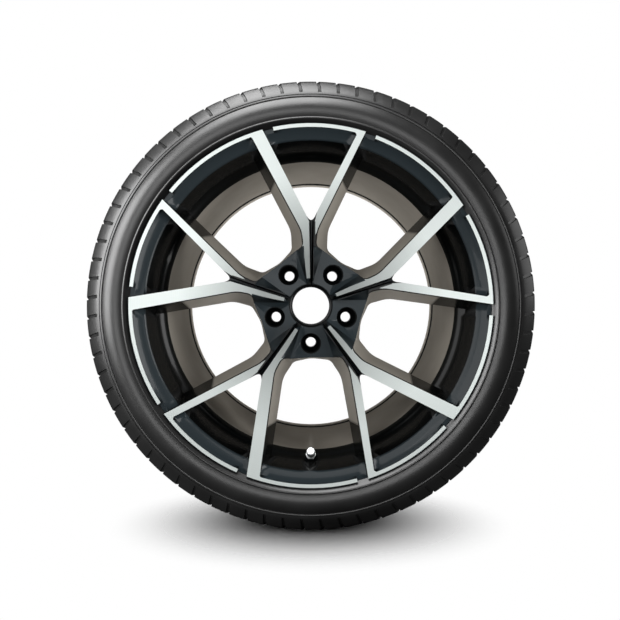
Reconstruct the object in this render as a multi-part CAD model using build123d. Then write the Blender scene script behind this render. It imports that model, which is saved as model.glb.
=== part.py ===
from build123d import *
from math import atan2, cos, degrees, hypot, radians, sin, tan
import os

# A one-piece cast car wheel with five spoke pairs, its low-profile tyre and a clamp-in valve.
# Sizes are in millimetres and degrees. The wheel is drawn with its axis on Z and its outer
# face towards +Z, and is stood upright at the end, with the outer face towards -Y.

# Rim
BEAD_DIAMETER = 482.6
RIM_WIDTH = 215.9
FLANGE_HEIGHT = 17.3
FLANGE_THICKNESS = 12.6
FLANGE_CURL = 8.5
FLANGE_EDGE = 1.2
BEAD_TAPER = 5.0
BEAD_SEAT_WIDTH = 21.0
HUMP_HEIGHT = 1.6
HUMP_WIDTH = 6.0
LEDGE_WALL = 4.2
WELL_WALL = 5.0
BARREL_WALL = 6.5
BARREL_RADIUS = 222.5
WELL_SLOPE_TOP = 58.0
WELL_SLOPE_ANGLE = 40.0
WELL_WIDTH = 38.0
BARREL_STEP = 2.0
BARREL_STEP_DEPTH = 35.0
BARREL_FLARE = 17.0

# Turned lip and the painted ring behind it
LIP_WIDTH = 6.1
LIP_DEPTH = 6.0
LIP_DRAFT = 2.0
RING_WIDTH = 11.5
RING_DROP = 2.0
SEAT_WALL = 5.3
NOTCH_WIDTH = 15.7
NOTCH_DEPTH = 5.5
LIP_FILLET = 5.6
LIP_FILLET_BITE = 0.6

# Spoke pairs: a main arm and a narrow arm that fork from one stem
PAIRS = 5
FACE_DISH = 26.0
SPOKE_DEPTH = 50.0
MAIN_FORK = (-6.8, 130.4)
MAIN_FORK_ANGLE = 27.6
MAIN_BEND = (-13.3, 108.7)
MAIN_BEND_ANGLE = 28.5
MAIN_STEM = (-10.0, 86.5)
NARROW_FORK = (9.4, 135.4)
NARROW_FORK_ANGLE = 27.7
NARROW_BEND = (8.9, 109.1)
NARROW_BEND_ANGLE = 26.8
NARROW_STEM = (5.6, 86.5)
BEND_RADIUS = 45.0
FORK_RADIUS = 7.0
FORK_DRAFT = 2.5
ARM_FLANK = 9.0
BEND_FLANK = 17.5
BEND_FLANK_LIFT = 7.0
STEM_FLANK = 19.5
BACK_STEP = 3.0
VALLEY_LEFT = (-2.6, 121.0)
VALLEY_LEFT_FOOT = (-0.5, 0.0)
VALLEY_RIGHT = (4.3, 115.0)
VALLEY_RIGHT_FOOT = (3.0, 0.0)
VALLEY_DEPTH = 19.0
VALLEY_FLOOR = 1.6

# Hub
OFFSET = 45.0
BORE_DIAMETER = 57.1
BORE_LENGTH = 21.0
BORE_CHAMFER = 1.5
CAP_SEAT_DIAMETER = 64.0
CAP_MOUTH_DIAMETER = 80.0
CAP_SEAT_EDGE = 1.0
BOLT_COUNT = 5
BOLT_CIRCLE = 112.0
BOLT_HOLE_DIAMETER = 15.5
BOLT_SEAT_ANGLE = 60.0
BOLT_SEAT_HEIGHT = 16.0
BOLT_POCKET_DIAMETER = 30.4
PAD_DEPTH = 34.0
PAD_CORNER_RADIUS = 86.5
PAD_MAIN_ANGLE = 15.2
PAD_NARROW_ANGLE = 12.4
PAD_MAIN_FOOT = (-5.9, 32.2)
PAD_NARROW_FOOT = (0.0, 26.5)
STEM_FOOT = (-4.7, 32.7)
RIDGE_FOOT = (1.8, 26.3)
RIDGE_FOOT_HEIGHT = 5.7
RIDGE_DROP = 3.5
HUB_FACE_RADIUS = 73.0
HUB_EDGE_RADIUS = 81.0
HUB_DRAFT = 7.5
HUB_CORNER_RADIUS = 12.0
HUB_SCALLOP_RADIUS = 55.0
CORE_POCKET_DEPTH = 14.0
CORE_POCKET_WIDTH = 22.0
CORE_POCKET_INNER = 38.0
CORE_POCKET_OUTER = 66.0

# Tyre
SECTION_HEIGHT = 85.7
TREAD_WIDTH = 215.0
CROWN_DROP = 1.5
SHOULDER_DROP = 4.8
SHOULDER_ROUND = 12.0
SIDEWALL_BULGE = 3.0
SIDEWALL_FLANK = 11.0
PROTECTOR_HEIGHT = 8.4
PROTECTOR_WIDTH = 3.4
PROTECTOR_STAND = 1.4
SIDEWALL_HEIGHT = 38.0
SHOULDER_HEIGHT = 24.5
SHOULDER_FALL = 1.9
SIDEWALL_WALL = 10.0
CROWN_WALL = 15.0
BEAD_WIDTH = 20.0
BEAD_CLEARANCE = 0.2
GROOVE_DEPTH = 7.0
GROOVE_WIDTH = 10.0
GROOVE_FLARE = 0.15
GROOVE_INNER = 21.0
GROOVE_OUTER = 62.0
SHOULDER_GROOVES = 72
SHOULDER_GROOVE_WIDTH = 4.6
SHOULDER_GROOVE_STOP = 0.6

# Valve
VALVE_RISE = 7.5
VALVE_HOLE = 11.3
VALVE_SEAT_DIAMETER = 16.5
VALVE_BASE_SEAT = 15.4
VALVE_SEAT_DEPTH = 0.4
VALVE_STEM_DIAMETER = 8.0
VALVE_STEM_LENGTH = 14.0
VALVE_BORE = 5.2
VALVE_BASE_DIAMETER = 14.2
VALVE_BASE_HEIGHT = 3.0
VALVE_SEAL_HEIGHT = 2.0
VALVE_NUT_DIAMETER = 16.0
VALVE_NUT_HEIGHT = 5.0
VALVE_EDGE = 0.5
VALVE_FIT = 0.1
CAP_DIAMETER = 12.5
CAP_SKIRT = 8.0
CAP_TOP = 2.4
CAP_DOME = 1.2
CAP_FIT = 0.3
CORE_LENGTH = 14.0
CORE_RECESS = 1.0
PIN_DIAMETER = 1.6
PIN_HEAD_DIAMETER = 3.6
PIN_PLATE = 1.5
PIN_RECESS = 0.6
PIN_SEAT_GAP = 0.05
PIN_FIT = 0.3

# Worked out from the driving sizes
BEAD_RADIUS = BEAD_DIAMETER / 2
LIP_RADIUS = BEAD_RADIUS + FLANGE_HEIGHT
FLANGE_Z = RIM_WIDTH / 2
FACE_Z = FLANGE_Z + FLANGE_THICKNESS
SEAT_INNER = BEAD_RADIUS - SEAT_WALL
LIP_WALL = LIP_RADIUS - LIP_WIDTH
RING_OUTER = LIP_WALL - LIP_DRAFT
RING_INNER = RING_OUTER - RING_WIDTH
RING_Z = FACE_Z - LIP_DEPTH
SLOPE_TOP_Z = FACE_Z - WELL_SLOPE_TOP
SLOPE_FALL = (SEAT_INNER - BARREL_RADIUS) * tan(radians(WELL_SLOPE_ANGLE))
WELL_OUTER = BARREL_RADIUS + WELL_WALL
BARREL_OUTER = BARREL_RADIUS + BARREL_WALL
SLOPE_SHIFT = WELL_WALL / cos(radians(WELL_SLOPE_ANGLE))
OUTER_TOP = SEAT_INNER + LEDGE_WALL
OUTER_TOP_Z = SLOPE_TOP_Z - SLOPE_SHIFT + LEDGE_WALL * tan(radians(WELL_SLOPE_ANGLE))
WELL_Z = OUTER_TOP_Z - (OUTER_TOP - WELL_OUTER) * tan(radians(WELL_SLOPE_ANGLE))
PAD_Z = FACE_Z - PAD_DEPTH
PITCH = 360 / PAIRS
CUT_OVERRUN = 1.0
CUT_LOW = OFFSET - CUT_OVERRUN
CUT_HIGH = FACE_Z + CUT_OVERRUN
WINDOW_REACH = 1.12 * LIP_RADIUS


def face_z(radius):
    """Height of the turned face, a shallow cone that falls towards the hub."""
    return FACE_Z - FACE_DISH * (1 - radius / LIP_RADIUS)


def back_z(radius):
    """Height of the spokes' backs, which rise from the hub to the rim."""
    hub_height = OFFSET + BACK_STEP
    rim_height = FACE_Z - SPOKE_DEPTH
    share = (radius - HUB_EDGE_RADIUS) / (SEAT_INNER - HUB_EDGE_RADIUS)
    return hub_height + (rim_height - hub_height) * share


def clock(radius, angle):
    """Point at an angle clockwise from straight up, seen from outside."""
    return (radius * sin(radians(angle)), radius * cos(radians(angle)))


def turned(point, angle):
    """Point turned clockwise about the axis."""
    x, y = point
    c = cos(radians(angle))
    s = sin(radians(angle))
    return (x * c + y * s, y * c - x * s)


def turned_edge(edge, angle):
    """Pairs of front and back points (x, y, z) turned clockwise about the axis."""
    pairs = []
    for pair in edge:
        pairs.append(tuple((*turned(point[:2], angle), point[2]) for point in pair))
    return pairs


def along(point, angle, radius):
    """Point at which a line leaving a point at an angle from straight up meets a circle."""
    x, y = point
    dx = sin(radians(angle))
    dy = cos(radians(angle))
    middle = x * dx + y * dy
    reach = -middle + (middle * middle + radius * radius - x * x - y * y) ** 0.5
    return (x + dx * reach, y + dy * reach)


def at_level(front, back, z):
    """Where the line from a back point (x, y, z) to a front point crosses a level."""
    share = (z - back[2]) / (front[2] - back[2])
    return (
        back[0] + (front[0] - back[0]) * share,
        back[1] + (front[1] - back[1]) * share,
        z,
    )


def on_face(point):
    return (point[0], point[1], face_z(hypot(*point)))


def on_back(point):
    return (point[0], point[1], back_z(hypot(*point)))


def ruled_cut(edges, low, high, radii):
    """Cutter with straight drafted walls through pairs of front and back points."""
    sections = []
    for level in (low, high):
        points = [at_level(front, back, level) for front, back in edges]
        sections.append(make_face(FilletPolyline(*points, radius=radii, close=True)))
    return loft(sections, ruled=True)


def around(shape, count):
    """Copies of a shape spaced evenly round the axis."""
    return [Rot(0, 0, 360 / count * i) * shape for i in range(count)]


def ring(*points):
    """Solid of revolution about Z of an outline given as radius and height."""
    return revolve(make_face(Plane.XZ * Polyline(*points, close=True)), Axis.Z)


def wheel_ring(*points):
    """Ring whose seam lies in the middle of a window, clear of every spoke."""
    return Rot(0, 0, 90 - PITCH / 2) * ring(*points)


# Rim barrel, with its bead seats, humps, drop well and flanges
def seat_radius(distance):
    """Bead seat radius at a distance from its flange."""
    return BEAD_RADIUS - distance * tan(radians(BEAD_TAPER))


def bead_side(sign):
    """Tyre side of one flange and bead seat, from the flange edge inwards."""
    hump = seat_radius(BEAD_SEAT_WIDTH) + HUMP_HEIGHT
    hump_z = FLANGE_Z - BEAD_SEAT_WIDTH - HUMP_WIDTH / 2
    side = [
        (LIP_RADIUS - FLANGE_EDGE, face_z(LIP_RADIUS - FLANGE_EDGE)),
        (LIP_RADIUS, FACE_Z - FLANGE_EDGE),
        (LIP_RADIUS, FLANGE_Z + FLANGE_CURL),
        (LIP_RADIUS - FLANGE_CURL, FLANGE_Z),
        (BEAD_RADIUS, FLANGE_Z),
        (seat_radius(BEAD_SEAT_WIDTH), FLANGE_Z - BEAD_SEAT_WIDTH),
        (hump, hump_z),
    ]
    return [(radius, sign * z) for radius, z in side]


def rim_barrel():
    front = bead_side(1)
    rear = bead_side(-1)
    rear.reverse()
    well = [
        (OUTER_TOP, OUTER_TOP_Z),
        (WELL_OUTER, WELL_Z),
        (WELL_OUTER, WELL_Z - WELL_WIDTH),
        (BARREL_OUTER, WELL_Z - WELL_WIDTH - 2 * BARREL_WALL),
        (BARREL_OUTER, rear[0][1] + 2 * BARREL_WALL),
    ]
    inside = [
        (SEAT_INNER, -face_z(SEAT_INNER)),
        (BARREL_RADIUS - BARREL_STEP, BARREL_FLARE - FACE_Z),
        (BARREL_RADIUS - BARREL_STEP, BARREL_STEP_DEPTH - BARREL_STEP - FACE_Z),
        (BARREL_RADIUS, BARREL_STEP_DEPTH - FACE_Z),
        (BARREL_RADIUS, SLOPE_TOP_Z - SLOPE_FALL),
        (SEAT_INNER, SLOPE_TOP_Z),
        (SEAT_INNER, RING_Z - 2 * RING_DROP),
        (RING_INNER, RING_Z - RING_DROP),
        (RING_OUTER, RING_Z),
        (LIP_WALL, face_z(LIP_WALL)),
    ]
    return wheel_ring(*front, *well, *rear, *inside)


# Spokes and hub: a turned blank with the windows, lug pads and valleys cut from it
def spoke_blank():
    arm_end = LIP_WALL + LIP_WIDTH / 4
    root = SEAT_INNER + SEAT_WALL / 3
    core = BORE_DIAMETER / 4
    return wheel_ring(
        (core, OFFSET),
        (HUB_FACE_RADIUS, OFFSET),
        (HUB_EDGE_RADIUS, back_z(HUB_EDGE_RADIUS)),
        (root, back_z(root)),
        (root, RING_Z - 3 * RING_DROP),
        (arm_end, RING_Z - RING_DROP / 2),
        (arm_end, face_z(arm_end)),
        (core, face_z(core)),
    )


def main_edge():
    """Front and back points of the main arm's flank on the big window, rim to hub."""
    outer = along(MAIN_BEND, -MAIN_BEND_ANGLE, WINDOW_REACH)
    return [
        (on_face(outer), on_back((outer[0] - ARM_FLANK, outer[1] - ARM_FLANK / 2))),
        (on_face(MAIN_BEND), on_back((MAIN_BEND[0] - BEND_FLANK, MAIN_BEND[1] + BEND_FLANK_LIFT))),
        (on_face(MAIN_STEM), on_back((MAIN_STEM[0] - STEM_FLANK, MAIN_STEM[1]))),
    ]


def narrow_edge():
    """Front and back points of the narrow arm's flank on the next big window."""
    outer = along(NARROW_BEND, NARROW_BEND_ANGLE, WINDOW_REACH)
    return [
        (on_face(outer), on_back((outer[0] + ARM_FLANK, outer[1] - ARM_FLANK / 2))),
        (on_face(NARROW_BEND), on_back((NARROW_BEND[0] + BEND_FLANK, NARROW_BEND[1] + BEND_FLANK_LIFT))),
        (on_face(NARROW_STEM), on_back((NARROW_STEM[0] + STEM_FLANK, NARROW_STEM[1]))),
    ]


def lip_web(edge, angle):
    """Column left standing to round the corner between the lip and an arm's anticlockwise side."""
    middle = LIP_FILLET - LIP_FILLET_BITE
    side_x = -cos(radians(angle)) * middle
    side_y = sin(radians(angle)) * middle
    x, y = along((edge[0] + side_x, edge[1] + side_y), angle, LIP_WALL - middle)
    inside_arm = (edge[0] - side_x, edge[1] - side_y)
    outer = LIP_RADIUS / hypot(x, y)
    corner = Polyline(
        (x, y),
        along(inside_arm, angle, LIP_WALL - 2 * LIP_FILLET),
        along(inside_arm, angle, LIP_RADIUS),
        (x * outer, y * outer),
        close=True,
    )
    outline = make_face(corner) - Pos(x, y) * Circle(LIP_FILLET)
    return Pos(0, 0, CUT_LOW) * extrude(outline, CUT_HIGH - CUT_LOW)


def big_window():
    """Opening between the main arm of one pair and the narrow arm of the pair before it."""
    middle = -PITCH / 2
    bottom = (
        on_face(clock(HUB_EDGE_RADIUS - HUB_DRAFT, middle)),
        on_back(clock(HUB_EDGE_RADIUS, middle)),
    )
    near = main_edge()
    far = turned_edge(narrow_edge(), -PITCH)
    far.reverse()
    radii = [0, BEND_RADIUS, HUB_CORNER_RADIUS, HUB_SCALLOP_RADIUS, HUB_CORNER_RADIUS, BEND_RADIUS, 0]
    cut = ruled_cut([*near, bottom, *far], CUT_LOW, CUT_HIGH, radii)
    return cut - lip_web(MAIN_BEND, -MAIN_BEND_ANGLE)


def fork_window():
    """Narrow V between the two arms of one pair."""
    left = along(MAIN_FORK, -MAIN_FORK_ANGLE, WINDOW_REACH)
    right = along(NARROW_FORK, NARROW_FORK_ANGLE, WINDOW_REACH)
    slope = tan(radians(MAIN_FORK_ANGLE)) + tan(radians(NARROW_FORK_ANGLE))
    gap_at_fork = (
        NARROW_FORK[0] - MAIN_FORK[0] - (NARROW_FORK[1] - MAIN_FORK[1]) * tan(radians(NARROW_FORK_ANGLE))
    )
    apex_y = MAIN_FORK[1] - gap_at_fork / slope
    apex_x = MAIN_FORK[0] + (MAIN_FORK[1] - apex_y) * tan(radians(MAIN_FORK_ANGLE))
    edges = [
        (on_face(left), on_back((left[0] + FORK_DRAFT, left[1]))),
        (on_face((apex_x, apex_y)), on_back((apex_x, apex_y + 2 * FORK_DRAFT))),
        (on_face(right), on_back((right[0] - FORK_DRAFT, right[1]))),
    ]
    cut = ruled_cut(edges, CUT_LOW, CUT_HIGH, [0, FORK_RADIUS, 0])
    return cut - lip_web(NARROW_FORK, NARROW_FORK_ANGLE)


def lug_pad():
    """Sunk flat for one wheel bolt, between a narrow arm's ridge and the next main stem."""
    ridge_top = (*NARROW_STEM, face_z(hypot(*NARROW_STEM)) - RIDGE_DROP)
    ridge_foot = (*RIDGE_FOOT, PAD_Z + RIDGE_FOOT_HEIGHT)
    ridge = [
        (ridge_foot, (*PAD_NARROW_FOOT, PAD_Z)),
        (ridge_top, (*clock(PAD_CORNER_RADIUS, PAD_NARROW_ANGLE), PAD_Z)),
    ]
    stem = [
        (on_face(MAIN_STEM), (*clock(PAD_CORNER_RADIUS, -PAD_MAIN_ANGLE), PAD_Z)),
        (on_face(STEM_FOOT), (*PAD_MAIN_FOOT, PAD_Z)),
    ]
    outer = clock(PAD_CORNER_RADIUS, PITCH / 2)
    middle = ((*outer, CUT_HIGH), (*outer, PAD_Z))
    return ruled_cut([*ridge, middle, *turned_edge(stem, PITCH)], PAD_Z, CUT_HIGH, 0)


def valley():
    """Groove between the main stem and the narrow arm's ridge, open to the fork window."""
    floor_z = face_z(0) - VALLEY_DEPTH
    half = VALLEY_FLOOR / 2
    middle = (VALLEY_LEFT[0] + VALLEY_RIGHT[0]) / 2
    left = [
        (VALLEY_LEFT_FOOT, (middle - half, VALLEY_LEFT_FOOT[1])),
        (VALLEY_LEFT, (middle - half, VALLEY_LEFT[1])),
        (MAIN_FORK, (middle - 2 * half, MAIN_FORK[1])),
    ]
    right = [
        (NARROW_FORK, (middle + 2 * half, NARROW_FORK[1])),
        (VALLEY_RIGHT, (middle + half, VALLEY_RIGHT[1])),
        (VALLEY_RIGHT_FOOT, (middle + half, VALLEY_RIGHT_FOOT[1])),
    ]
    edges = [(on_face(front), (*floor, floor_z)) for front, floor in left + right]
    return ruled_cut(edges, floor_z, CUT_HIGH, 0)


def lip_notch(edge, angle):
    """Gap in the turned lip on the clockwise side of one arm's edge."""
    near = along(edge, angle, LIP_RADIUS)
    start = degrees(atan2(near[0], near[1]))
    end = start + degrees(NOTCH_WIDTH / LIP_RADIUS)
    outer = LIP_RADIUS + LIP_WIDTH
    outline = Polyline(
        along(edge, angle, RING_OUTER),
        along(edge, angle, outer),
        clock(outer, end),
        clock(RING_OUTER, end),
        close=True,
    )
    return Pos(0, 0, FACE_Z - NOTCH_DEPTH) * extrude(make_face(outline), 2 * NOTCH_DEPTH)


def hub_bore():
    """Centring bore from behind, and the open seat and mouth of the centre cap in front."""
    bore = BORE_DIAMETER / 2
    seat = CAP_SEAT_DIAMETER / 2
    mouth = CAP_MOUTH_DIAMETER / 2
    shoulder = OFFSET + BORE_LENGTH
    return wheel_ring(
        (0, CUT_LOW),
        (bore + BORE_CHAMFER + OFFSET - CUT_LOW, CUT_LOW),
        (bore, OFFSET + BORE_CHAMFER),
        (bore, shoulder),
        (seat, shoulder),
        (seat, PAD_Z - CAP_SEAT_EDGE),
        (mouth, face_z(mouth)),
        (mouth, CUT_HIGH),
        (0, CUT_HIGH),
    )


def bolt_hole():
    """Through hole, conical seat and wrench pocket of one wheel bolt."""
    hole = BOLT_HOLE_DIAMETER / 2
    pocket = BOLT_POCKET_DIAMETER / 2
    seat_z = OFFSET + BOLT_SEAT_HEIGHT
    cut = ring(
        (0, CUT_LOW),
        (hole, CUT_LOW),
        (hole, seat_z),
        (pocket, seat_z + (pocket - hole) / tan(radians(BOLT_SEAT_ANGLE / 2))),
        (pocket, CUT_HIGH),
        (0, CUT_HIGH),
    )
    x, y = clock(BOLT_CIRCLE / 2, 180)
    return Pos(x, y, 0) * cut


def core_pocket():
    """Cored recess in the hub's back, behind the stem of one pair."""
    length = CORE_POCKET_OUTER - CORE_POCKET_INNER
    outline = Pos(0, CORE_POCKET_INNER + length / 2) * Rectangle(CORE_POCKET_WIDTH, length)
    return Pos(0, 0, CUT_LOW) * extrude(outline, OFFSET - CUT_LOW + CORE_POCKET_DEPTH)


# Place of the valve: straight below the hub, square to the slope of the drop well
VALVE_RADIUS = BARREL_RADIUS + VALVE_RISE
VALVE_TILT = Rot(-WELL_SLOPE_ANGLE, 0, 0)
VALVE_Z = SLOPE_TOP_Z - (SEAT_INNER - VALVE_RADIUS) * tan(radians(WELL_SLOPE_ANGLE))
VALVE_PLACE = Pos(0, -VALVE_RADIUS, VALVE_Z) * VALVE_TILT * Pos(0, 0, -VALVE_SEAT_DEPTH)
VALVE_WALL = WELL_WALL - 2 * VALVE_SEAT_DEPTH


def valve_hole():
    """Drilled hole with a spot face on each side of the well's slope."""
    reach = VALVE_SEAT_DIAMETER / 2
    drill = Cylinder(VALVE_HOLE / 2, 4 * WELL_WALL)
    face = Cylinder(VALVE_SEAT_DIAMETER / 2, reach, align=(Align.CENTER, Align.CENTER, Align.MIN))
    inner = Cylinder(VALVE_BASE_SEAT / 2, reach, align=(Align.CENTER, Align.CENTER, Align.MAX))
    return [VALVE_PLACE * shape for shape in (drill, face, Pos(0, 0, -VALVE_WALL) * inner)]


def alloy_wheel():
    spider = spoke_blank()
    cuts = []
    for cut in (big_window(), fork_window(), lug_pad(), valley(), core_pocket()):
        cuts.extend(around(cut, PAIRS))
    cuts.extend(around(bolt_hole(), BOLT_COUNT))
    spider = spider - [*cuts, hub_bore()]
    rim_cuts = valve_hole()
    for notch in (lip_notch(MAIN_FORK, -MAIN_FORK_ANGLE), lip_notch(NARROW_BEND, NARROW_BEND_ANGLE)):
        rim_cuts.extend(around(notch, PAIRS))
    return rim_barrel() - rim_cuts + spider


# Tyre
TYRE_RADIUS = BEAD_RADIUS + SECTION_HEIGHT
TREAD_EDGE = TREAD_WIDTH / 2
SHOULDER_RADIUS = TYRE_RADIUS - SHOULDER_HEIGHT
SHOULDER_Z = FACE_Z - SHOULDER_FALL
SHOULDER_SLOPE = (SHOULDER_Z - TREAD_EDGE) / (SHOULDER_HEIGHT - SHOULDER_DROP)


def tyre_side(sign):
    """One side of the tyre's section: its outer skin from bead to crown, and its inner liner."""
    clear = BEAD_CLEARANCE
    wall_inner = LIP_RADIUS + PROTECTOR_HEIGHT + SIDEWALL_FLANK
    wall_outer = LIP_RADIUS + SIDEWALL_HEIGHT - SIDEWALL_FLANK
    bead = [
        (seat_radius(BEAD_WIDTH) + clear, FLANGE_Z - BEAD_WIDTH),
        (BEAD_RADIUS + clear, FLANGE_Z - clear),
        (LIP_RADIUS - FLANGE_CURL + clear, FLANGE_Z - clear),
        (LIP_RADIUS + 2 * clear, FLANGE_Z + FLANGE_CURL - clear),
        (LIP_RADIUS + PROTECTOR_HEIGHT - PROTECTOR_WIDTH, FACE_Z + PROTECTOR_STAND),
        (LIP_RADIUS + PROTECTOR_HEIGHT, FACE_Z + PROTECTOR_STAND),
    ]
    shoulder = [
        (wall_inner, FACE_Z + SIDEWALL_BULGE),
        (wall_outer, FACE_Z + SIDEWALL_BULGE),
        (LIP_RADIUS + SIDEWALL_HEIGHT, FACE_Z),
        (SHOULDER_RADIUS, SHOULDER_Z),
        (TYRE_RADIUS - SHOULDER_DROP, TREAD_EDGE),
        (TYRE_RADIUS - CROWN_DROP, TREAD_EDGE - SHOULDER_ROUND),
        (TYRE_RADIUS, GROOVE_OUTER),
    ]
    liner = [
        (LIP_RADIUS - FLANGE_CURL, FLANGE_Z - SIDEWALL_WALL),
        (wall_outer, FACE_Z + SIDEWALL_BULGE - SIDEWALL_WALL),
        (TYRE_RADIUS - CROWN_WALL, TREAD_EDGE - CROWN_WALL - SHOULDER_ROUND),
    ]
    outline = bead + shoulder
    return [(radius, sign * z) for radius, z in outline], [(radius, sign * z) for radius, z in liner]


def tyre():
    front_skin, front_liner = tyre_side(1)
    rear_skin, rear_liner = tyre_side(-1)
    rear_skin.reverse()
    front_liner.reverse()
    body = ring(*front_skin, *rear_skin, *rear_liner, *front_liner)
    cuts = []
    for z in (GROOVE_INNER, GROOVE_OUTER):
        for sign in (1, -1):
            cuts.append(tread_groove(sign * z))
    for sign in (1, -1):
        cuts.extend(around(shoulder_groove(sign), SHOULDER_GROOVES))
    return body - cuts


def tread_groove(z):
    """Circumferential groove, wider at its mouth than at its floor."""
    outside = TYRE_RADIUS + GROOVE_DEPTH
    mouth = GROOVE_WIDTH / 2 + GROOVE_FLARE * GROOVE_DEPTH
    floor = GROOVE_WIDTH / 2 - GROOVE_FLARE * GROOVE_DEPTH
    return ring(
        (TYRE_RADIUS - GROOVE_DEPTH, z - floor),
        (TYRE_RADIUS - GROOVE_DEPTH, z + floor),
        (outside, z + mouth),
        (outside, z - mouth),
    )


def shoulder_groove(sign):
    """Lateral groove with a flat floor that comes out on the crown and on the shoulder."""
    start_z = GROOVE_OUTER + GROOVE_WIDTH
    fade_z = SHOULDER_Z - SHOULDER_GROOVE_STOP * SHOULDER_SLOPE
    fall = (SHOULDER_HEIGHT - SHOULDER_GROOVE_STOP) / (fade_z - start_z)
    side = FACE_Z + SIDEWALL_BULGE
    outline = [
        (TYRE_RADIUS, start_z),
        (TYRE_RADIUS - (side - start_z) * fall, side),
        (TYRE_RADIUS, side),
    ]
    points = [(radius, sign * z) for radius, z in outline]
    face = make_face(Plane.XZ * Polyline(*points, close=True))
    half = degrees(SHOULDER_GROOVE_WIDTH / TYRE_RADIUS) / 2
    return loft([Rot(0, 0, -half) * face, Rot(0, 0, half) * face], ruled=True)


# Valve, drawn along Z from its spot face and then put in place
SHANK = VALVE_STEM_DIAMETER / 2
BASE_TOP = -VALVE_WALL - VALVE_SEAL_HEIGHT
BASE_BOTTOM = BASE_TOP - VALVE_BASE_HEIGHT
CORE_TOP = VALVE_STEM_LENGTH - CORE_RECESS
CORE_BOTTOM = CORE_TOP - CORE_LENGTH


def valve_stem():
    bore = VALVE_BORE / 2
    base = VALVE_BASE_DIAMETER / 2
    return ring(
        (bore, BASE_BOTTOM),
        (base, BASE_BOTTOM),
        (base, BASE_TOP),
        (SHANK, BASE_TOP),
        (SHANK, VALVE_STEM_LENGTH),
        (bore, VALVE_STEM_LENGTH),
    )


def valve_seal():
    """Rubber washer under the base, with a sleeve that centres the stem in its hole."""
    inner = SHANK + VALVE_FIT
    sleeve = VALVE_HOLE / 2 - VALVE_FIT
    base = VALVE_BASE_DIAMETER / 2
    return ring(
        (inner, BASE_TOP),
        (base, BASE_TOP),
        (base, -VALVE_WALL),
        (sleeve, -VALVE_WALL),
        (sleeve, -VALVE_EDGE),
        (inner, -VALVE_EDGE),
    )


def valve_nut():
    """Hexagon nut with a turned chamfer on its outer end."""
    corner = VALVE_NUT_DIAMETER / 2
    blank = extrude(RegularPolygon(corner, 6), VALVE_NUT_HEIGHT)
    turned_form = ring(
        (SHANK + VALVE_FIT, 0),
        (corner, 0),
        (corner, VALVE_NUT_HEIGHT - VALVE_EDGE),
        (corner - 2 * VALVE_EDGE, VALVE_NUT_HEIGHT),
        (SHANK + VALVE_FIT, VALVE_NUT_HEIGHT),
    )
    return blank & turned_form


def valve_core():
    inner = PIN_DIAMETER / 2 + PIN_FIT
    outer = VALVE_BORE / 2 - VALVE_FIT
    return ring((inner, CORE_BOTTOM), (outer, CORE_BOTTOM), (outer, CORE_TOP), (inner, CORE_TOP))


def valve_core_pin():
    """Plunger that is pushed in to let air out, with its seal plate under the core."""
    pin = PIN_DIAMETER / 2
    plate = PIN_HEAD_DIAMETER / 2
    plate_top = CORE_BOTTOM - PIN_SEAT_GAP
    return ring(
        (0, plate_top - PIN_PLATE),
        (plate, plate_top - PIN_PLATE),
        (plate, plate_top),
        (pin, plate_top),
        (pin, VALVE_STEM_LENGTH - PIN_RECESS),
        (0, VALVE_STEM_LENGTH - PIN_RECESS),
    )


def valve_cap():
    inner = SHANK + CAP_FIT
    outer = CAP_DIAMETER / 2
    ceiling = VALVE_STEM_LENGTH + CAP_FIT
    top = ceiling + CAP_TOP
    return ring(
        (0, ceiling),
        (inner, ceiling),
        (inner, ceiling - CAP_SKIRT),
        (outer, ceiling - CAP_SKIRT),
        (outer, top - CAP_DOME),
        (outer - CAP_DOME, top),
        (0, top),
    )


os.makedirs("parts", exist_ok=True)
STAND_UP = Rot(90, 0, 0)
export_step(STAND_UP * alloy_wheel(), "parts/alloy_wheel.step")
export_step(STAND_UP * tyre(), "parts/tyre.step")
for piece in (valve_stem, valve_seal, valve_nut, valve_core, valve_core_pin, valve_cap):
    export_step(STAND_UP * VALVE_PLACE * piece(), f"parts/{piece.__name__}.step")
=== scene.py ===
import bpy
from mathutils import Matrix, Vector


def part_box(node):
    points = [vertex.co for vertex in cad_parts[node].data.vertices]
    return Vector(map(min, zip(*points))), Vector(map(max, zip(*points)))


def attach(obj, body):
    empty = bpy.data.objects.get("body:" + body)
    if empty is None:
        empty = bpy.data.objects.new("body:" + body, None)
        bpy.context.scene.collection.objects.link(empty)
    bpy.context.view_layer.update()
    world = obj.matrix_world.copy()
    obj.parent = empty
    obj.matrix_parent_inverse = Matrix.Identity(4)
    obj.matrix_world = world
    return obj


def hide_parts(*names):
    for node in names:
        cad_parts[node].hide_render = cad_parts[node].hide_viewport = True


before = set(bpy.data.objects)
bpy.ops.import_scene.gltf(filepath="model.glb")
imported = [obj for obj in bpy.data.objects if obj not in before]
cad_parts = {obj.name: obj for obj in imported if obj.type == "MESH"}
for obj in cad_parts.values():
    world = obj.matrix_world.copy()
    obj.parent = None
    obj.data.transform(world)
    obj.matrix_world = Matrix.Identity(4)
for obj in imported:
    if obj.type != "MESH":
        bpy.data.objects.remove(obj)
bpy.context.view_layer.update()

from math import cos, hypot, pi, radians, sin, tan, tau

import bmesh
import bpy
from mathutils import Matrix, Vector

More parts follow.
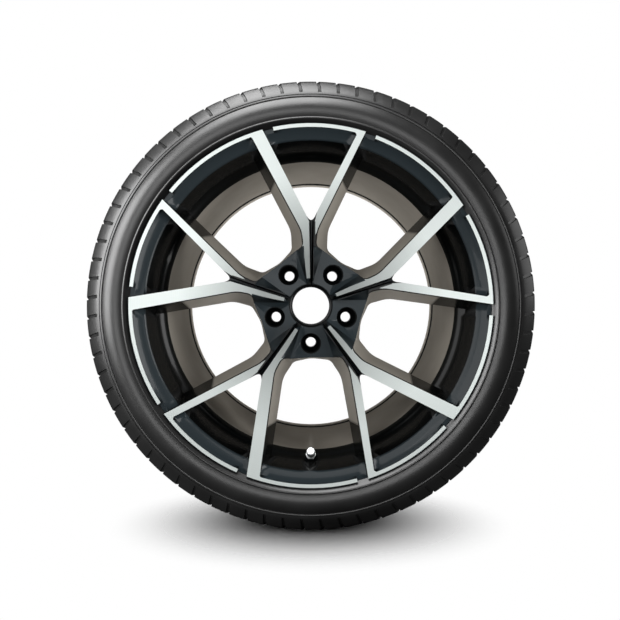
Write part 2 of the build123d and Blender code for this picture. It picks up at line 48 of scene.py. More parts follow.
# Alloy wheel: one low-pressure casting of aluminium, rim, spokes and hub in one piece. It is primed
# grey-brown, its front is sprayed gloss black, and then its spoke faces and lip are cut bright on a
# lathe, so the turned metal ends in crisp edges against the paint.
MM = 0.001
WELD = 0.001 * MM
CAST_EDGE_DEGREES = 20
wheel_low, wheel_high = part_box("alloy_wheel")
LIP_RADIUS = wheel_high.x
LIP_EDGE = 1.2 * MM
FACE_DISH = 26 * MM
FACE_PLANE = -wheel_low.y + FACE_DISH * LIP_EDGE / LIP_RADIUS
TURNED_SLACK = 0.08 * MM
BARREL_FRONT = 52 * MM
BARREL_NEAR = 215 * MM
BARREL_STEP = 3 * MM
SPOKE_NEAR = 65 * MM
SPOKE_BACK = 70 * MM
SPOKE_FRONT = 100 * MM
SIDE_BLACK_RADIUS = 184 * MM
SIDE_BLACK_FADE = 2 * MM
EDGE_BLACK_DEPTH = 5 * MM
EDGE_FADE = 1 * MM
SHEEN_DEPTH = 70 * MM
SHEEN_FADE = 10 * MM
SHEEN_TILTS = (-0.3, -0.75)
PAINT_EDGE = 0.7 * MM
PAINT_BLACK = "#040606"
PRIMER_PATCH_MM = 35
PRIMER_TONES = ("#857f76", "#938e85")
GRAIN_HEIGHT = 0.1 * MM
HUB_SHADE_REACH = (70 * MM, 190 * MM)
HUB_SHADE_SHARE = 0.4
BARE_METALLIC = 0.65
# the painted points of the narrow arms, measured across and along the middle of a pair
PAIRS = 5
NARROW_LEAN = radians(27.7)
VALLEY_ACROSS = 1 * MM
FORK_ALONG = 121 * MM
POINT_ACROSS = 6.6 * MM
POINT_ALONG = 103.5 * MM
POINT_SLACK = 0.8 * MM
PAINT, TURNED, BARREL, SPOKE_SIDE = range(4)


def linear(hex_colour):
    """sRGB hex as linear red, green, blue and alpha."""
    values = [int(hex_colour[i:i + 2], 16) / 255 for i in (1, 3, 5)]
    return [v / 12.92 if v <= 0.04045 else ((v + 0.055) / 1.055) ** 2.4 for v in values] + [1.0]


def add_node(tree, kind, settings=None, **inputs):
    """Adds a node, sets its properties, and fills each named input with a value or a link."""
    made = tree.nodes.new(kind)
    for key, value in (settings or {}).items():
        setattr(made, key, value)
    for key, value in inputs.items():
        name = key.replace("_", " ")
        socket = made.inputs[int(key[1:])] if key[1:].isdigit() else made.inputs[name]
        if isinstance(value, bpy.types.NodeSocket):
            tree.links.new(value, socket)
        else:
            socket.default_value = value
    return made


def new_material(name, colour):
    """Empty node material with its viewport colour, its tree and its object coordinates."""
    material = bpy.data.materials.new(name)
    material.use_nodes = True
    material.diffuse_color = linear(colour)
    tree = material.node_tree
    tree.nodes.clear()
    place = add_node(tree, "ShaderNodeTexCoord").outputs["Object"]
    return material, tree, place


def finish_material(tree, shader):
    add_node(tree, "ShaderNodeOutputMaterial", Surface=shader.outputs[0])


def mottled(tree, place, patch_mm, dark, light):
    """Colour that drifts between two tones in soft patches, and the noise behind it."""
    noise = add_node(tree, "ShaderNodeTexNoise", Vector=place, Scale=1 / (patch_mm * MM), Detail=3.0)
    tone = add_node(
        tree, "ShaderNodeMix", {"data_type": "RGBA"}, i0=noise.outputs["Fac"],
        i6=linear(dark), i7=linear(light),
    )
    return tone.outputs[2], noise.outputs["Fac"]


def grained(tree, place, grain_mm, strength):
    """Normal of a surface with a fine, even grain."""
    noise = add_node(tree, "ShaderNodeTexNoise", Vector=place, Scale=1 / (grain_mm * MM), Detail=2.0)
    bump = add_node(
        tree, "ShaderNodeBump", Height=noise.outputs["Fac"], Strength=strength, Distance=GRAIN_HEIGHT
    )
    return bump.outputs["Normal"]


def gloss_black_paint():
    """Black under clear lacquer: a deep base, sharp reflections, light caught on every edge, and a painted
    reflection in blue-grey on faces that look to the front.
    """
    material, tree, place = new_material("gloss_black_paint", "#0a0c0d")
    deep, _ = mottled(tree, place, 60, PAINT_BLACK, "#0b0e0f")
    # faces that look out to the front, near the front of the casting, get a lighter blue-grey colour:
    # painted reflection of the light in front
    normal = add_node(tree, "ShaderNodeTexCoord").outputs["Normal"]
    look = add_node(tree, "ShaderNodeSeparateXYZ", Vector=normal)
    facing_front = add_node(
        tree, "ShaderNodeMapRange", Value=look.outputs["Y"],
        From_Min=SHEEN_TILTS[0], From_Max=SHEEN_TILTS[1],
    )
    part = add_node(tree, "ShaderNodeSeparateXYZ", Vector=place)
    front = add_node(
        tree, "ShaderNodeMapRange", Value=part.outputs["Y"],
        From_Min=-SHEEN_DEPTH, From_Max=-SHEEN_DEPTH - SHEEN_FADE,
    )
    painted_reflection = add_node(
        tree, "ShaderNodeMath", {"operation": "MULTIPLY"},
        i0=facing_front.outputs["Result"], i1=front.outputs["Result"],
    )
    # the blue-grey colour mixed in here is painted reflection, not a colour of the paint
    base = add_node(
        tree, "ShaderNodeMix", {"data_type": "RGBA"}, i0=painted_reflection.outputs["Value"],
        i6=deep, i7=linear("#2a3236"),
    )
    peel = grained(tree, place, 4, 0.03)
    edge = add_node(tree, "ShaderNodeBevel", {"samples": 4}, Radius=PAINT_EDGE, Normal=peel)
    shader = add_node(
        tree, "ShaderNodeBsdfPrincipled", Base_Color=base.outputs[2], Roughness=0.3, IOR=1.5,
        Specular_IOR_Level=0.2, Coat_Weight=0.2, Coat_Roughness=0.06,
        Normal=edge.outputs["Normal"], Coat_Normal=edge.outputs["Normal"],
    )
    finish_material(tree, shader)
    return material


def turned_aluminium():
    """Bare aluminium off the lathe: fine rings about the axle that spread light along the spokes."""
    material, tree, place = new_material("turned_aluminium", "#dfe4e2")
    part = add_node(tree, "ShaderNodeSeparateXYZ", Vector=place)
    flat = add_node(tree, "ShaderNodeCombineXYZ", X=part.outputs["X"], Z=part.outputs["Z"])
    reach = add_node(tree, "ShaderNodeVectorMath", {"operation": "LENGTH"}, i0=flat.outputs["Vector"])
    out = add_node(tree, "ShaderNodeVectorMath", {"operation": "NORMALIZE"}, i0=flat.outputs["Vector"])
    # the real feed is about 0.2 mm a turn, drawn coarser so that it shows
    feed_mm = 0.7
    rings = add_node(
        tree, "ShaderNodeTexNoise", {"noise_dimensions": "1D"}, W=reach.outputs["Value"],
        Scale=1 / (feed_mm * MM), Detail=3.0, Roughness=0.7,
    )
    base = add_node(
        tree, "ShaderNodeMix", {"data_type": "RGBA"}, i0=rings.outputs["Fac"],
        i6=linear("#dde6e4"), i7=linear("#f4faf7"),
    )
    # the turned faces are painted darker towards the hub: painted shade for the reflection that fades
    # along the spokes towards the middle
    hub_shade = add_node(
        tree, "ShaderNodeMapRange", Value=reach.outputs["Value"],
        From_Min=HUB_SHADE_REACH[0], From_Max=HUB_SHADE_REACH[1], To_Min=HUB_SHADE_SHARE,
    )
    metal = add_node(
        tree, "ShaderNodeVectorMath", {"operation": "SCALE"},
        i0=base.outputs[2], Scale=hub_shade.outputs["Result"],
    )
    # below the fork the narrow arm drops under the tool, so its bright face ends in a painted point
    angle = add_node(
        tree, "ShaderNodeMath", {"operation": "ARCTAN2"}, i0=part.outputs["X"], i1=part.outputs["Z"]
    )
    turn = add_node(
        tree, "ShaderNodeMath", {"operation": "WRAP"},
        i0=angle.outputs["Value"], i1=pi / PAIRS, i2=-pi / PAIRS,
    )
    sine = add_node(tree, "ShaderNodeMath", {"operation": "SINE"}, i0=turn.outputs["Value"])
    across = add_node(
        tree, "ShaderNodeMath", {"operation": "MULTIPLY"},
        i0=sine.outputs["Value"], i1=reach.outputs["Value"],
    )
    cosine = add_node(tree, "ShaderNodeMath", {"operation": "COSINE"}, i0=turn.outputs["Value"])
    along = add_node(
        tree, "ShaderNodeMath", {"operation": "MULTIPLY"},
        i0=cosine.outputs["Value"], i1=reach.outputs["Value"],
    )
    edge = add_node(
        tree, "ShaderNodeMath", {"operation": "MULTIPLY_ADD"}, i0=along.outputs["Value"],
        i1=tan(NARROW_LEAN), i2=POINT_ACROSS + POINT_SLACK - POINT_ALONG * tan(NARROW_LEAN),
    )
    beyond = add_node(
        tree, "ShaderNodeMath", {"operation": "GREATER_THAN"},
        i0=across.outputs["Value"], i1=edge.outputs["Value"],
    )
    before = add_node(
        tree, "ShaderNodeMath", {"operation": "LESS_THAN"}, i0=across.outputs["Value"], i1=POINT_ACROSS
    )
    beside = add_node(
        tree, "ShaderNodeMath", {"operation": "MAXIMUM"},
        i0=beyond.outputs["Value"], i1=before.outputs["Value"],
    )
    narrow = add_node(
        tree, "ShaderNodeMath", {"operation": "GREATER_THAN"}, i0=across.outputs["Value"], i1=VALLEY_ACROSS
    )
    low = add_node(
        tree, "ShaderNodeMath", {"operation": "LESS_THAN"}, i0=along.outputs["Value"], i1=FORK_ALONG
    )
    below_fork = add_node(
        tree, "ShaderNodeMath", {"operation": "MULTIPLY"},
        i0=narrow.outputs["Value"], i1=low.outputs["Value"],
    )
    painted = add_node(
        tree, "ShaderNodeMath", {"operation": "MULTIPLY"},
        i0=below_fork.outputs["Value"], i1=beside.outputs["Value"],
    )
    colour = add_node(
        tree, "ShaderNodeMix", {"data_type": "RGBA"}, i0=painted.outputs["Value"],
        i6=metal.outputs["Vector"], i7=linear(PAINT_BLACK),
    )
    bare = add_node(
        tree, "ShaderNodeMapRange", Value=painted.outputs["Value"], To_Min=BARE_METALLIC, To_Max=0.0
    )
    rough = add_node(tree, "ShaderNodeMapRange", Value=rings.outputs["Fac"], To_Min=0.42, To_Max=0.5)
    shader = add_node(
        tree, "ShaderNodeBsdfPrincipled", Base_Color=colour.outputs[2], Metallic=bare.outputs["Result"],
        Roughness=rough.outputs["Result"], Anisotropic=0.5, Tangent=out.outputs["Vector"],
    )
    finish_material(tree, shader)
    return material


def barrel_primer():
    """Thin grey-brown primer on the cast barrel: flat, a little uneven, with fine grit."""
    material, tree, place = new_material("barrel_primer", "#8b867d")
    base, _ = mottled(tree, place, PRIMER_PATCH_MM, *PRIMER_TONES)
    shader = add_node(
        tree, "ShaderNodeBsdfPrincipled", Base_Color=base, Roughness=0.6, IOR=1.45,
        Normal=grained(tree, place, 0.8, 0.1),
    )
    finish_material(tree, shader)
    return material


def spoke_side_paint():
    """Spoke sides: black near the rim and under the turned edge, a grey-brown primer tone below that
    partly stands in for the white the sides reflect: painted reflection.
    """
    material, tree, place = new_material("spoke_side_paint", "#5a5650")
    part = add_node(tree, "ShaderNodeSeparateXYZ", Vector=place)
    flat = add_node(tree, "ShaderNodeCombineXYZ", X=part.outputs["X"], Z=part.outputs["Z"])
    reach = add_node(tree, "ShaderNodeVectorMath", {"operation": "LENGTH"}, i0=flat.outputs["Vector"])
    rim_black = add_node(
        tree, "ShaderNodeMapRange", Value=reach.outputs["Value"],
        From_Min=SIDE_BLACK_RADIUS - SIDE_BLACK_FADE, From_Max=SIDE_BLACK_RADIUS + SIDE_BLACK_FADE,
    )
    face_level = add_node(
        tree, "ShaderNodeMath", {"operation": "MULTIPLY_ADD"}, i0=reach.outputs["Value"],
        i1=FACE_DISH / LIP_RADIUS, i2=FACE_PLANE - FACE_DISH,
    )
    depth = add_node(
        tree, "ShaderNodeMath", {"operation": "ADD"}, i0=face_level.outputs["Value"], i1=part.outputs["Y"]
    )
    wrap = add_node(
        tree, "ShaderNodeMapRange", Value=depth.outputs["Value"],
        From_Min=EDGE_BLACK_DEPTH, From_Max=EDGE_BLACK_DEPTH + EDGE_FADE, To_Min=1.0, To_Max=0.0,
    )
    black = add_node(
        tree, "ShaderNodeMath", {"operation": "MAXIMUM"},
        i0=rim_black.outputs["Result"], i1=wrap.outputs["Result"],
    )
    # this grey-brown is partly the primer's colour, partly painted reflection of the white seen behind the
    # spokes
    primer, _ = mottled(tree, place, PRIMER_PATCH_MM, *PRIMER_TONES)
    base = add_node(
        tree, "ShaderNodeMix", {"data_type": "RGBA"}, i0=black.outputs["Value"],
        i6=primer, i7=linear("#060707"),
    )
    rough = add_node(tree, "ShaderNodeMapRange", Value=black.outputs["Value"], To_Min=0.6, To_Max=0.25)
    shader = add_node(
        tree, "ShaderNodeBsdfPrincipled", Base_Color=base.outputs[2], Roughness=rough.outputs["Result"],
        IOR=1.5, Normal=grained(tree, place, 0.8, 0.05),
    )
    finish_material(tree, shader)
    return material


def new_piece(name, mesh, body, slot, *nodes):
    """Links a finished mesh as a piece that rides on a body and stands for CAD nodes."""
    piece = bpy.data.objects.new(name, mesh)
    bpy.context.scene.collection.objects.link(piece)
    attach(piece, body)
    if nodes:
        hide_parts(*nodes)
    return piece


def smooth_with_edges(mesh, degrees):
    for polygon in mesh.polygons:
        polygon.use_smooth = True
    mesh.set_sharp_from_angle(angle=radians(degrees))


def face_height(radius):
    return FACE_PLANE - FACE_DISH * (1 - radius / LIP_RADIUS)


def smooth_runs(form, degrees):
    """Lists of faces that meet without a sharp edge."""
    limit = radians(degrees)
    taken = set()
    runs = []
    for first in form.faces:
        if first.index in taken:
            continue
        taken.add(first.index)
        run = [first]
        for face in run:
            for edge in face.edges:
                if edge.calc_face_angle(pi) > limit:
                    continue
                for other in edge.link_faces:
                    if other.index not in taken:
                        taken.add(other.index)
                        run.append(other)
        runs.append(run)
    return runs


def wheel_finish(run):
    """Which finish a smooth run of faces has, as the number of its material."""
    places = [(hypot(v.co.x, v.co.z), -v.co.y) for face in run for v in face.verts]
    if all(abs(height - face_height(radius)) < TURNED_SLACK for radius, height in places):
        return TURNED
    nearest, farthest = min(places)[0], max(places)[0]
    heights = [height for radius, height in places]
    if nearest > BARREL_NEAR and max(heights) < BARREL_FRONT:
        return BARREL if max(heights) - min(heights) > BARREL_STEP else PAINT
    spans_spoke = min(heights) < SPOKE_BACK and max(heights) > SPOKE_FRONT
    if spans_spoke and nearest > SPOKE_NEAR and farthest > SIDE_BLACK_RADIUS:
        return SPOKE_SIDE
    return PAINT


def lathe_normals(mesh, turned):
    """Gives the turned faces the exact normals of the cone that the lathe cuts."""
    slope = FACE_DISH / LIP_RADIUS
    normals = [corner.vector.copy() for corner in mesh.corner_normals]
    for polygon in mesh.polygons:
        if polygon.material_index == turned:
            for loop in polygon.loop_indices:
                x, y, z = mesh.vertices[mesh.loops[loop].vertex_index].co
                reach = hypot(x, z)
                normals[loop] = Vector((-slope * x / reach, -1, -slope * z / reach)).normalized()
    mesh.normals_split_custom_set(normals)


wheel_form = bmesh.new()
wheel_form.from_mesh(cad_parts["alloy_wheel"].data)
bmesh.ops.remove_doubles(wheel_form, verts=wheel_form.verts, dist=WELD)
wheel_form.normal_update()
wheel_form.faces.index_update()
for wheel_run in smooth_runs(wheel_form, CAST_EDGE_DEGREES):
    finish = wheel_finish(wheel_run)
    for wheel_face in wheel_run:
        wheel_face.material_index = finish
wheel_mesh = bpy.data.meshes.new("alloy_wheel_finished")
wheel_form.to_mesh(wheel_mesh)
wheel_form.free()
for material in (gloss_black_paint(), turned_aluminium(), barrel_primer(), spoke_side_paint()):
    wheel_mesh.materials.append(material)
smooth_with_edges(wheel_mesh, CAST_EDGE_DEGREES)
lathe_normals(wheel_mesh, TURNED)
wheel = new_piece("alloy_wheel_finished", wheel_mesh, "wheel", "alloy", "alloy_wheel")

# Tyre: one moulded, steel-belted rubber tyre of low profile, pressed over the rim's flanges
# and held there by its beads. The mould gives it a rib that guards the rim, a round sidewall,
# two fine rings, and a shoulder whose grooves repeat all round.

# the sizes of its section are in millimetres, and those across a groove in shares of one pitch
TYRE_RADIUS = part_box("tyre")[1].x / MM
PITCHES = 72
PITCH_WELD = 0.01 * MM
GROOVE_EDGES = (0.408, 0.592)
GROOVE_FLOOR = (0.425, 0.575)
COLUMNS = (0.0, 0.22, GROOVE_EDGES[0], *GROOVE_FLOOR, GROOVE_EDGES[1], 0.78, 1.0)
TREAD_GROOVE_DEPTH = 7.0
LEAN = 0.011
LEAN_FROM = 120
LEAN_BELOW = 119
WALL_BOW = 3.7
WALL_STEPS = 12
MOULD_EDGE_DEGREES = 28


def sidewall_arc(start, end, rise, steps):
    """Points on a shallow bow between two points, risen outwards at its middle."""
    points = []
    for i in range(1, steps):
        t = i / steps
        radius = start[0] + (end[0] - start[0]) * t
        height = start[1] + (end[1] - start[1]) * t + 4 * rise * t * (1 - t)
        points.append((radius, height, 0.0))
    return points


def tyre_half():
    """Outer skin from bead toe to the middle of the tread: radius, height and groove depth."""
    bead = [(240.0, 88.2, 0), (241.5, 107.7, 0), (250.3, 107.7, 0), (259.0, 116.2, 0)]
    guard = [
        (260.0, 117.4, 0), (263.4, 121.3, 0), (264.2, 121.9, 0), (265.3, 122.2, 0), (266.4, 121.9, 0),
        (266.9, 121.2, 0), (267.2, 120.3, 0),
    ]
    wall_start = (267.6, 120.0)
    wall_end = (294.4, 119.4)
    wall = [(*wall_start, 0), *sidewall_arc(wall_start, wall_end, WALL_BOW, WALL_STEPS), (*wall_end, 0)]
    rings = [
        (294.7, 118.5, 0), (295.3, 118.5, 0), (295.6, 119.5, 0), (296.6, 119.8, 0), (298.1, 119.5, 0),
        (298.4, 118.6, 0), (299.0, 118.5, 0), (299.3, 119.3, 0), (300.6, 119.1, 0),
    ]
    shoulder = [
        (302.6, 118.5, 0.0), (304.5, 117.8, 0.9), (309.0, 115.6, 1.8), (314.0, 112.8, 2.2),
        (319.0, 109.6, 2.4), (321.6, 107.6, 2.6), (322.4, 106.2, 2.8), (323.5, 102.5, 3.2),
        (324.5, 98.5, 4.0), (325.4, 93.5, 5.0), (326.1, 86.0, 5.5), (326.5, 78.0, 5.5), (326.8, 72.5, 0.0),
    ]
    floor = TYRE_RADIUS - TREAD_GROOVE_DEPTH
    tread = [
        (326.9, 67.4, 0), (326.3, 66.9, 0), (floor, 65.6, 0), (floor, 58.4, 0), (326.5, 57.1, 0),
        (327.0, 56.6, 5.0), (327.0, 46.0, 4.6), (327.0, 39.0, 3.0), (327.0, 38.0, 0.0), (327.0, 26.6, 0),
        (326.5, 26.1, 0), (floor, 24.8, 0), (floor, 17.2, 0), (326.5, 15.9, 0), (327.0, 15.4, 0),
        (327.0, 7.5, 0), (327.0, 6.0, 2.2),
    ]
    return bead + guard + wall + rings + shoulder + tread


def tyre_loop():
    """Whole section: one skin, its mirror image, and a plain liner inside."""
    front = tyre_half()
    back = [(radius, -height, depth) for radius, height, depth in reversed(front)]
    half_liner = [(311.5, 80.0, 0), (303.0, 107.0, 0), (284.0, 113.0, 0), (252.0, 98.0, 0)]
    liner = [(radius, -height, 0) for radius, height, depth in reversed(half_liner)]
    return front + back + liner + half_liner


def one_pitch():
    """One repeat of the tyre, a slice that leans with the grooves so that slices meet."""
    rows = tyre_loop()
    step = tau / PITCHES
    form = bmesh.new()
    grid = []
    for i, (radius, height, depth) in enumerate(rows):
        before = rows[i - 1]
        after = rows[(i + 1) % len(rows)]
        run = Vector((after[0] - before[0], after[1] - before[1])).normalized()
        leans = depth or abs(height) < LEAN_BELOW
        lean = LEAN * (height - LEAN_FROM) * step if leans else 0.0
        line = []
        for share in COLUMNS:
            sink = depth if share in GROOVE_FLOOR else 0.0
            r = (radius + run.y * sink) * MM
            h = (height - run.x * sink) * MM
            angle = share * step + lean
            line.append(form.verts.new((r * sin(angle), -h, r * cos(angle))))
        grid.append(line)
    for i, line in enumerate(grid):
        after = grid[(i + 1) % len(grid)]
        for j in range(len(COLUMNS) - 1):
            form.faces.new((line[j], line[j + 1], after[j + 1], after[j]))
    mesh = bpy.data.meshes.new("tyre_pitch")
    form.to_mesh(mesh)
    form.free()
    smooth_with_edges(mesh, MOULD_EDGE_DEGREES)
    return mesh


def moulded_rubber():
    """Carbon-black rubber from a steel mould: dark, satin, with a faint grain and a grey bloom."""
    material, tree, place = new_material("moulded_black_rubber", "#1d1d1d")
    base, bloom = mottled(tree, place, 45, "#0a0a0a", "#141414")
    rough = add_node(tree, "ShaderNodeMapRange", Value=bloom, To_Min=0.3, To_Max=0.44)
    shader = add_node(
        tree, "ShaderNodeBsdfPrincipled", Base_Color=base, Roughness=rough.outputs["Result"], IOR=1.52,
        Specular_IOR_Level=0.4, Normal=grained(tree, place, 0.7, 0.12),
    )
    finish_material(tree, shader)
    return material


def ring_of_copies(name, count, material):
    """Geometry Nodes tree that sets copies of its mesh evenly about the wheel's axle."""
    tree = bpy.data.node_groups.new(name, "GeometryNodeTree")
    tree.interface.new_socket("Geometry", in_out="INPUT", socket_type="NodeSocketGeometry")
    copies = tree.interface.new_socket("Copies", in_out="INPUT", socket_type="NodeSocketInt")
    copies.default_value = count
    tree.interface.new_socket("Geometry", in_out="OUTPUT", socket_type="NodeSocketGeometry")
    given = add_node(tree, "NodeGroupInput")
    points = add_node(tree, "GeometryNodePoints", Count=given.outputs["Copies"])
    index = add_node(tree, "GeometryNodeInputIndex")
    share = add_node(
        tree, "ShaderNodeMath", {"operation": "DIVIDE"},
        i0=index.outputs["Index"], i1=given.outputs["Copies"],
    )
    turn = add_node(tree, "ShaderNodeMath", {"operation": "MULTIPLY"}, i0=share.outputs["Value"], i1=tau)
    angles = add_node(tree, "ShaderNodeCombineXYZ", Y=turn.outputs["Value"])
    rotation = add_node(tree, "FunctionNodeEulerToRotation", Euler=angles.outputs["Vector"])
    spread = add_node(
        tree, "GeometryNodeInstanceOnPoints", Points=points.outputs[0], Instance=given.outputs["Geometry"],
        Rotation=rotation.outputs["Rotation"],
    )
    real = add_node(tree, "GeometryNodeRealizeInstances", Geometry=spread.outputs["Instances"])
    merged = add_node(
        tree, "GeometryNodeMergeByDistance", Geometry=real.outputs["Geometry"], Distance=PITCH_WELD
    )
    finished = add_node(
        tree, "GeometryNodeSetMaterial", Geometry=merged.outputs["Geometry"], Material=material
    )
    add_node(tree, "NodeGroupOutput", Geometry=finished.outputs["Geometry"])
    return tree, copies.identifier


def spun(name, mesh, count, material):
    """Plain mesh of a slice repeated about the axle by the tree above."""
    tree, copies = ring_of_copies(name + "_ring", count, material)
    holder = bpy.data.objects.new(name + "_slice", mesh)
    bpy.context.scene.collection.objects.link(holder)
    modifier = holder.modifiers.new("Ring", "NODES")
    modifier.node_group = tree
    modifier[copies] = count
    seen = holder.evaluated_get(bpy.context.evaluated_depsgraph_get())
    result = bpy.data.meshes.new_from_object(seen)
    result.name = name
    holder.modifiers.remove(modifier)
    bpy.data.objects.remove(holder)
    return result


rubber = moulded_rubber()
tyre_mesh = spun("road_tyre", one_pitch(), PITCHES, rubber)
tyre = new_piece("road_tyre", tyre_mesh, "wheel", "tyre", "tyre")

# Valve: turned aluminium stem clamped through the rim's slope by a hexagon nut, with a rubber
# seal under its foot, a brass core screwed inside and a knurled metal cap. It points out
# towards the outer face, straight below the hub.
VALVE_TILT = radians(40)
KNURLS = 36
KNURL_RISE = 0.3 * MM
KNURL_LENGTH = 6.5 * MM
KNURL_FILL = 0.9


def satin_metal(name, dark, light, roughness):
    """Small turned metal parts: bright, a little uneven from the tool, with soft reflections."""
    material, tree, place = new_material(name, light)
    base, _ = mottled(tree, place, 1.5, dark, light)
    shader = add_node(tree, "ShaderNodeBsdfPrincipled", Base_Color=base, Metallic=1.0, Roughness=roughness)
    finish_material(tree, shader)
    return material


valve_aluminium = satin_metal("turned_valve_aluminium", "#a9acad", "#c4c7c7", 0.42)
valve_brass = satin_metal("turned_brass", "#b08d45", "#cdaa62", 0.3)
for node, material in (
    ("valve_stem", valve_aluminium),
    ("valve_nut", valve_aluminium),
    ("valve_cap", valve_aluminium),
    ("valve_core", valve_brass),
    ("valve_core_pin", valve_brass),
    ("valve_seal", rubber),
):
    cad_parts[node].data.materials.clear()
    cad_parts[node].data.materials.append(material)


def one_knurl(radius):
    """Single rounded ridge of a grip, standing on a cylinder about Y and closed at both ends."""
    half = pi * radius / KNURLS * KNURL_FILL
    sunk = radius - KNURL_RISE
    crest = radius + KNURL_RISE
    outline = [(-half, sunk), (-half / 2, crest), (half / 2, crest), (half, sunk)]
    form = bmesh.new()
    ends = []
    for y in (-KNURL_LENGTH / 2, KNURL_LENGTH / 2):
        ends.append([form.verts.new((x, y, z)) for x, z in outline])
    for i in range(len(outline)):
        j = (i + 1) % len(outline)
        form.faces.new((ends[0][i], ends[0][j], ends[1][j], ends[1][i]))
    form.faces.new(ends[0])
    form.faces.new(ends[1])
    bmesh.ops.recalc_face_normals(form, faces=form.faces)
    mesh = bpy.data.meshes.new("knurl")
    form.to_mesh(mesh)
    form.free()
    return mesh


cap_low, cap_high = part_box("valve_cap")
knurl_mesh = spun("cap_knurl", one_knurl((cap_high.x - cap_low.x) / 2), KNURLS, valve_aluminium)
knurl_mesh.transform(Matrix.Translation((cap_low + cap_high) / 2) @ Matrix.Rotation(-VALVE_TILT, 4, "X"))
new_piece("cap_knurl", knurl_mesh, "cap", "valve_metal")

# Floor: a plain pale floor under the tyre's lowest point. It fades out close round the place where
# the tyre stands, in an oval, so that only the soft shadow shows on the white background.
FLOOR_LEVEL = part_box("tyre")[0].z
FLOOR_RADIUS = 0.6
FLOOR_SIDES = 64
FLOOR_PATCH = (0.155, 0.08)
FLOOR_PATCH_Y = -0.06
FLOOR_FADE = (0.4, 2.0)


def pale_floor():
    """Matt pale paint that the camera sees, dark to other rays so that it throws no light upwards."""
    material, tree, place = new_material("pale_floor", "#f4f4f4")
    wide, deep = FLOOR_PATCH
    spread = add_node(
        tree, "ShaderNodeVectorMath", {"operation": "MULTIPLY_ADD"}, i0=place, i1=(1 / wide, 1 / deep, 0),
        i2=(0, -FLOOR_PATCH_Y / deep, 0),
    )
    reach = add_node(tree, "ShaderNodeVectorMath", {"operation": "LENGTH"}, i0=spread.outputs["Vector"])
    fade = add_node(
        tree, "ShaderNodeMapRange", {"interpolation_type": "SMOOTHSTEP"}, Value=reach.outputs["Value"],
        From_Min=FLOOR_FADE[0], From_Max=FLOOR_FADE[1],
    )
    rays = add_node(tree, "ShaderNodeLightPath")
    tone = add_node(
        tree, "ShaderNodeMix", {"data_type": "RGBA"}, i0=rays.outputs["Is Camera Ray"],
        i6=linear("#303030"), i7=linear("#f4f4f4"),
    )
    paint = add_node(tree, "ShaderNodeBsdfDiffuse", Color=tone.outputs[2])
    clear = add_node(tree, "ShaderNodeBsdfTransparent")
    mixed = add_node(
        tree, "ShaderNodeMixShader", Fac=fade.outputs["Result"], i1=paint.outputs[0], i2=clear.outputs[0]
    )
    finish_material(tree, mixed)
    return material


floor_form = bmesh.new()
bmesh.ops.create_circle(floor_form, cap_ends=True, segments=FLOOR_SIDES, radius=FLOOR_RADIUS)
bmesh.ops.translate(floor_form, verts=floor_form.verts, vec=(0, 0, FLOOR_LEVEL))
floor_mesh = bpy.data.meshes.new("floor")
floor_form.to_mesh(floor_mesh)
floor_form.free()
floor_mesh.materials.append(pale_floor())
floor = bpy.data.objects.new("floor", floor_mesh)
bpy.context.scene.collection.objects.link(floor)

# Lamps: soft boxes at the left, at the right, in front and above, and one behind that lights the
# barrel. They are flagged, as in a studio, so that wheel, tyre and floor are each lit on their own.


def soft_lamp(name, place, aim, width, height, power):
    """Rectangular area lamp that looks from a place to an aim and stays out of the camera's sight."""
    data = bpy.data.lights.new(name, "AREA")
    data.shape = "RECTANGLE"
    data.size = width
    data.size_y = height
    data.energy = power
    lamp = bpy.data.objects.new(name, data)
    lamp.location = place
    lamp.rotation_euler = (Vector(aim) - Vector(place)).to_track_quat("-Z", "Y").to_euler()
    lamp.visible_camera = False
    bpy.context.scene.collection.objects.link(lamp)
    return lamp


def link_light(lamp, state, *pieces):
    """Flags a lamp as in a studio: it reaches only some pieces (INCLUDE), or all but some (EXCLUDE)."""
    group = bpy.data.collections.new(lamp.name + "_pieces")
    for piece in pieces:
        group.objects.link(piece)
    for entry in group.collection_objects:
        entry.light_linking.link_state = state
    lamp.light_linking.receiver_collection = group


link_light(soft_lamp("key_lamp", (-1.4, -1.0, 0.4), (0, 0, 0), 1.8, 1.6, 20), "EXCLUDE", floor, tyre)
link_light(soft_lamp("side_lamp", (1.5, -0.8, 0), (0, 0, 0), 1.2, 1.4, 25), "EXCLUDE", floor, tyre)
link_light(soft_lamp("front_lamp", (-0.2, -1.7, 0.6), (0, 0, 0), 1.2, 1.2, 7.5), "EXCLUDE", floor, tyre)
link_light(soft_lamp("strip_lamp", (0, -1.6, 0.02), (0, 0, 0.02), 1.2, 0.25, 1.0), "EXCLUDE", floor, tyre)
link_light(soft_lamp("tyre_lamp", (-1.3, -1.05, 0.4), (0, 0, 0), 1.1, 1.2, 68), "INCLUDE", tyre)
link_light(soft_lamp("wall_lamp", (-0.2, -1.7, 0.15), (0, 0, 0), 0.6, 0.6, 9), "INCLUDE", tyre)
link_light(soft_lamp("tread_lamp", (1.5, -0.2, 0.4), (0.3, -0.1, 0), 0.8, 0.8, 4), "INCLUDE", tyre)
link_light(soft_lamp("top_lamp", (-0.3, -0.7, 1.5), (0, 0, 0.1), 1.2, 1.2, 60), "EXCLUDE", floor, wheel)
link_light(soft_lamp("floor_lamp", (0, 0.3, 1.5), (0, 0.3, -0.3), 0.6, 0.6, 40), "INCLUDE", floor)
back_lamp = soft_lamp("back_lamp", (0, 0.7, -0.2), (0, 0, 0), 0.8, 0.8, 23)
back_lamp.visible_glossy = False
link_light(back_lamp, "EXCLUDE", floor)

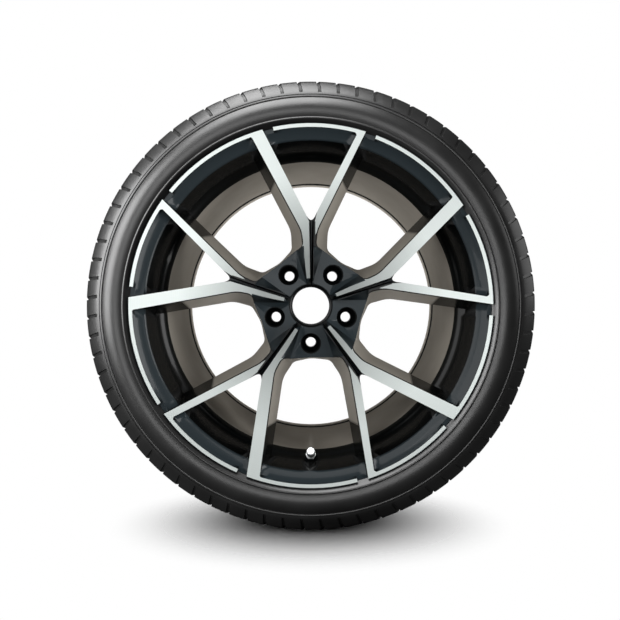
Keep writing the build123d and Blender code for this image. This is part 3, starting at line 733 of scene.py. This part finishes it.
# Room: white behind the object for the camera. Metal and lacquer see it dimmed, so that the black
# paint stays deep, and all else gets only a faint, even light from it.
ROOM_GLOW = 0.03
ROOM_IN_METAL = 0.08
world = bpy.data.worlds.new("white_room")
bpy.context.scene.world = world
world.use_nodes = True
room = world.node_tree
room.nodes.clear()
rays = add_node(room, "ShaderNodeLightPath")
mirrored = add_node(
    room, "ShaderNodeMath", {"operation": "MULTIPLY"},
    i0=rays.outputs["Is Glossy Ray"], i1=ROOM_IN_METAL,
)
behind = add_node(
    room, "ShaderNodeMath", {"operation": "MAXIMUM"},
    i0=rays.outputs["Is Camera Ray"], i1=rays.outputs["Is Transmission Ray"],
)
seen_by = add_node(
    room, "ShaderNodeMath", {"operation": "MAXIMUM"},
    i0=behind.outputs["Value"], i1=mirrored.outputs["Value"],
)
white = add_node(room, "ShaderNodeBackground", Color=linear("#ffffff"), Strength=1.0)
grey = add_node(room, "ShaderNodeBackground", Color=linear("#ffffff"), Strength=ROOM_GLOW)
mix = add_node(
    room, "ShaderNodeMixShader", Fac=seen_by.outputs["Value"], i1=grey.outputs[0], i2=white.outputs[0]
)
add_node(room, "ShaderNodeOutputWorld", Surface=mix.outputs[0])

# Camera: square on to the outer face at axle height, at the photograph's distance and framing.
# Pixels are the photograph's, and the gap is from the camera to the plane of the lip.
PHOTO = 620
FOCAL_PIXELS = 496.4
CENTRE_PIXEL = (310.8, 305.6)
CAMERA_GAP = 0.7
SENSOR = 36.0
camera_data = bpy.data.cameras.new("camera")
camera_data.sensor_width = SENSOR
camera_data.lens = SENSOR * FOCAL_PIXELS / PHOTO
camera_data.shift_x = -(CENTRE_PIXEL[0] - PHOTO / 2) / PHOTO
camera_data.shift_y = (CENTRE_PIXEL[1] - PHOTO / 2) / PHOTO
camera = bpy.data.objects.new("camera", camera_data)
camera.location = (0, -(FACE_PLANE + CAMERA_GAP), 0)
camera.rotation_euler = (pi / 2, 0, 0)
bpy.context.scene.collection.objects.link(camera)
bpy.context.scene.camera = camera
bpy.context.scene.view_settings.view_transform = "Standard"
